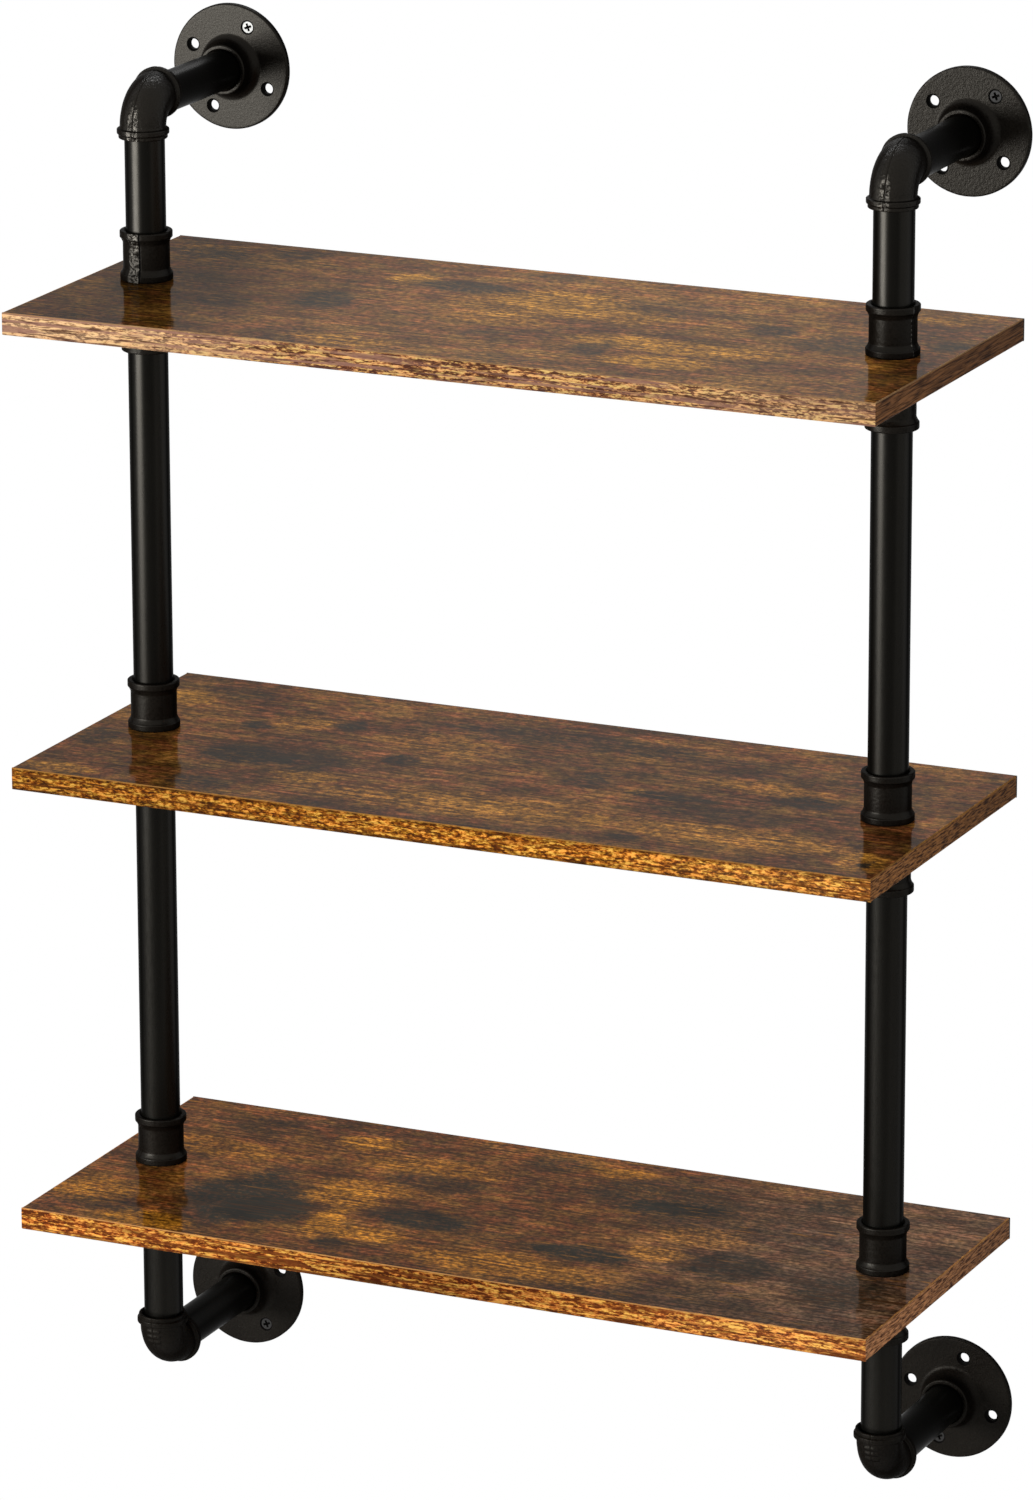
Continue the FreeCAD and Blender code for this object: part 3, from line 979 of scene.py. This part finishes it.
def floor():
    """A pale floor a wall shelf's height below, large enough to be what the black pipes reflect.
    It ends a little behind the wall plane, out of the picture."""
    half, front, rear, drop = 9.0, 10.0, 1.14, 1.55
    points = [(-half, -front, -drop), (half, -front, -drop), (half, rear, -drop), (-half, rear, -drop)]
    ground = smooth_mesh("floor", points, [(0, 1, 2, 3)])
    made, tree, shader = new_material("floor_paint")
    cloud = pattern(tree, 1.5, 2, 0.5)
    tree.links.new(ramp(tree, cloud, [(0.3, 0.80), (0.7, 0.83)]), shader.inputs["Base Color"])
    shader.inputs["Roughness"].default_value = 0.9
    ground.data.materials.append(made)


# The grey of the world's light, then each lamp's place, aim, width, height and watts
ambient_level = 0.35
lamps = {
    "key": ((-1.70, -2.48, 0.12), (0, -0.1, 0.12), 1.5, 1.1, 109),
    "rear": ((-0.84, 1.51, 1.70), (0, -0.13, 0.1), 1.0, 0.7, 44),
}

# The boards' tops. shift moves the pattern, coat and left_coat are the gloss over the board and at its left
# end, the sheen share a painted reflection, a pale veil at the right, left the darkening at the left end, and
# smoke the least and most of the cloudy shading. The rest are colours.
board_looks = {
    "top": {
        "shift": (0.0, 0.0, 0.0), "coat": 0.22, "left_coat": 0.15, "painted_sheen": 0.0, "left": 0.30,
        "smoke": (0.72, 1.26),
        "deep": (0.125, 0.050, 0.014), "brown": (0.205, 0.086, 0.017), "tan": (0.300, 0.134, 0.026),
        "red": (0.240, 0.078, 0.022), "olive": (0.200, 0.104, 0.020),
        "amber": (0.400, 0.180, 0.022), "charcoal": (0.036, 0.027, 0.015), "line": (0.070, 0.026, 0.008),
    },
    "middle": {
        "shift": (17.0, 4.0, 0.0), "coat": 0.19, "left_coat": 0.15, "painted_sheen": 0.0, "left": 0.80,
        "smoke": (0.64, 1.34),
        "deep": (0.090, 0.036, 0.012), "brown": (0.148, 0.060, 0.015), "tan": (0.225, 0.096, 0.020),
        "red": (0.185, 0.055, 0.018), "olive": (0.145, 0.076, 0.015),
        "amber": (0.340, 0.150, 0.020), "charcoal": (0.022, 0.017, 0.011), "line": (0.048, 0.019, 0.006),
    },
    "bottom": {
        "shift": (31.0, 9.0, 0.0), "coat": 0.13, "left_coat": 0.13, "painted_sheen": 0.45, "left": 1.0,
        "smoke": (0.60, 1.36),
        "deep": (0.088, 0.034, 0.012), "brown": (0.146, 0.056, 0.013), "tan": (0.220, 0.088, 0.016),
        "red": (0.185, 0.052, 0.014), "olive": (0.138, 0.066, 0.012),
        "amber": (0.370, 0.146, 0.013), "charcoal": (0.020, 0.017, 0.011), "line": (0.048, 0.018, 0.005),
    },
}

# The edge bands. fleck, clump and end_fleck are densities, crack and band thresholds, and spread the width of
# the tones. worn is at the left and right end, shade at the left, middle and right, margins darken the upper
# and lower edge, the lower one as painted shade, and end_shade is painted shade, lighter at the front and
# darker at the rear of the ends. gold and orange tint the tones between dark and light, the eased upper
# edge's colour is partly a painted highlight and partly wear, and rear is the painted shade on the rear
# strip.
edge_looks = {
    "top": {
        "shift": (0.0, 0.0, 0.0), "fleck": (240, 520, 820), "clump": (48, 130, 600),
        "crack": 0.44, "band": (0.505, 0.445), "spread": 0.028,
        "worn": (0.75, 0.35), "shade": (0.82, 0.82, 0.84), "margins": (1.0, 0.92),
        "gold": (0.96, 1.03, 0.98), "orange": (1.05, 0.91, 0.95),
        "dark": (0.070, 0.026, 0.015), "red": (0.240, 0.096, 0.036), "middle": (0.420, 0.205, 0.066),
        "light": (0.720, 0.430, 0.150), "streak": (0.250, 0.125, 0.090), "pale": (0.760, 0.490, 0.270),
        "end_dark": (0.030, 0.010, 0.003), "end_light": (0.280, 0.120, 0.044), "end_fleck": 36,
        "end_shade": (1.25, 0.80), "ease_highlight_and_wear": (0.400, 0.225, 0.100), "rear": (0.040, 0.024, 0.015),
    },
    "middle": {
        "shift": (17.0, 4.0, 0.0), "fleck": (230, 420, 600), "clump": (120, 130, 420),
        "crack": 0.42, "band": (0.480, 0.425), "spread": 0.042,
        "worn": (0.0, 0.12), "shade": (0.56, 0.84, 1.06), "margins": (0.62, 0.50),
        "gold": (0.95, 1.03, 1.05), "orange": (1.06, 0.86, 0.84),
        "dark": (0.060, 0.018, 0.004), "red": (0.210, 0.066, 0.007), "middle": (0.420, 0.160, 0.012),
        "light": (0.860, 0.420, 0.070), "streak": (0.110, 0.030, 0.005), "pale": (0.560, 0.340, 0.170),
        "end_dark": (0.036, 0.011, 0.003), "end_light": (0.400, 0.170, 0.054), "end_fleck": 95,
        "end_shade": (1.28, 0.74), "ease_highlight_and_wear": (0.380, 0.180, 0.045), "rear": (0.034, 0.020, 0.012),
    },
    "bottom": {
        "shift": (31.0, 9.0, 0.0), "fleck": (230, 480, 760), "clump": (55, 130, 520),
        "crack": 0.43, "band": (0.500, 0.440), "spread": 0.033,
        "worn": (0.0, 0.10), "shade": (0.92, 0.44, 1.12), "margins": (1.0, 0.72),
        "gold": (0.99, 1.06, 1.15), "orange": (1.08, 0.86, 0.98),
        "dark": (0.080, 0.020, 0.005), "red": (0.260, 0.072, 0.011), "middle": (0.460, 0.165, 0.022),
        "light": (0.800, 0.400, 0.070), "streak": (0.150, 0.038, 0.009), "pale": (0.560, 0.340, 0.170),
        "end_dark": (0.060, 0.018, 0.006), "end_light": (0.620, 0.280, 0.120), "end_fleck": 95,
        "end_shade": (1.32, 0.72), "ease_highlight_and_wear": (0.540, 0.270, 0.090), "rear": (0.038, 0.021, 0.012),
    },
}

# Angles about the post, in degrees from +X, of the rough strips and mould seams that the photo shows. The
# other couplings' seams turn by a step from one coupling to the next.
coupling_strips = {"over_top_left": (-108, -81), "over_top_right": (-21, -18)}
coupling_seams = {
    "over_top_left": (-78.5, 102), "over_top_right": (-19.5, 160), "over_middle_right": (-40, 140),
}
seam_turn_step = 47


def dress():
    """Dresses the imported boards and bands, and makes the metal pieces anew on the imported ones' boxes."""
    pipe_paint = black_pipe_paint()
    cast = cast_paint("cast_paint", 0.16 * mm, 0.12)
    pebbled = cast_paint("pebbled_cast_paint", 0.45 * mm, 0.13)
    elbow_cast = cast_paint("elbow_cast_paint", 0.55 * mm, 0.17, 300)
    # The bottom elbows and flanges get a copy of the paint with a coarser skin and less gloss, the lower
    # gloss a painted shade
    shaded_cast = cast_paint("shaded_cast_paint", 0.40 * mm, 0.075, 300)
    strip_cast = cast_paint("strip_cast_paint", 1.2 * mm, 0.62, 260, sparkling=True)
    # Painted shade, near-black and matt, for the insides of holes and recesses and the seam beside a rough
    # patch
    hollow_shade = painted_shade_hollow()
    for level in levels:
        paint_node("shelf_board_" + level, laminate(level, board_looks[level]))
        paint_node("edge_band_" + level, edge_print(level, edge_looks[level]))
    cast_kinds = (cast, strip_cast, hollow_shade)
    seam_turn = 0
    for side in sides:
        for run in ("top_pipe_", "riser_pipe_upper_", "riser_pipe_lower_", "bottom_pipe_"):
            pipe(run + side, pipe_paint)
        for level in levels:
            for seat in ("over", "under"):
                place = seat + "_" + level + "_" + side
                seam_turn += seam_turn_step
                seams = coupling_seams.get(place, (seam_turn % 180, seam_turn % 180 + 180))
                coupling("coupling_" + place, cast_kinds, seams, coupling_strips.get(place))
            paint_node("board_nipple_" + level + "_" + side, pipe_paint)
    zinc = screw_metal("screw_zinc", (0.13, 0.13, 0.125), 0.36, 0.8)
    black = screw_metal("screw_black", (0.020, 0.019, 0.018), 0.42, 0.0)
    for corner in corners:
        pipe("arm_pipe_" + corner, pipe_paint)
        low_corner = corner.startswith("bottom")
        elbow("elbow_" + corner, shaded_cast if low_corner else elbow_cast, strip_cast)
        flange(corner, {"top_left": cast, "top_right": pebbled}.get(corner, shaded_cast), hollow_shade)
        wall_screw(corner, zinc if corner == "top_left" else black, hollow_shade)


dress()
photo_camera()
white_world(ambient_level)
for name, settings in lamps.items():
    softbox(name, *settings)
floor()
bpy.context.scene.view_settings.view_transform = "Standard"
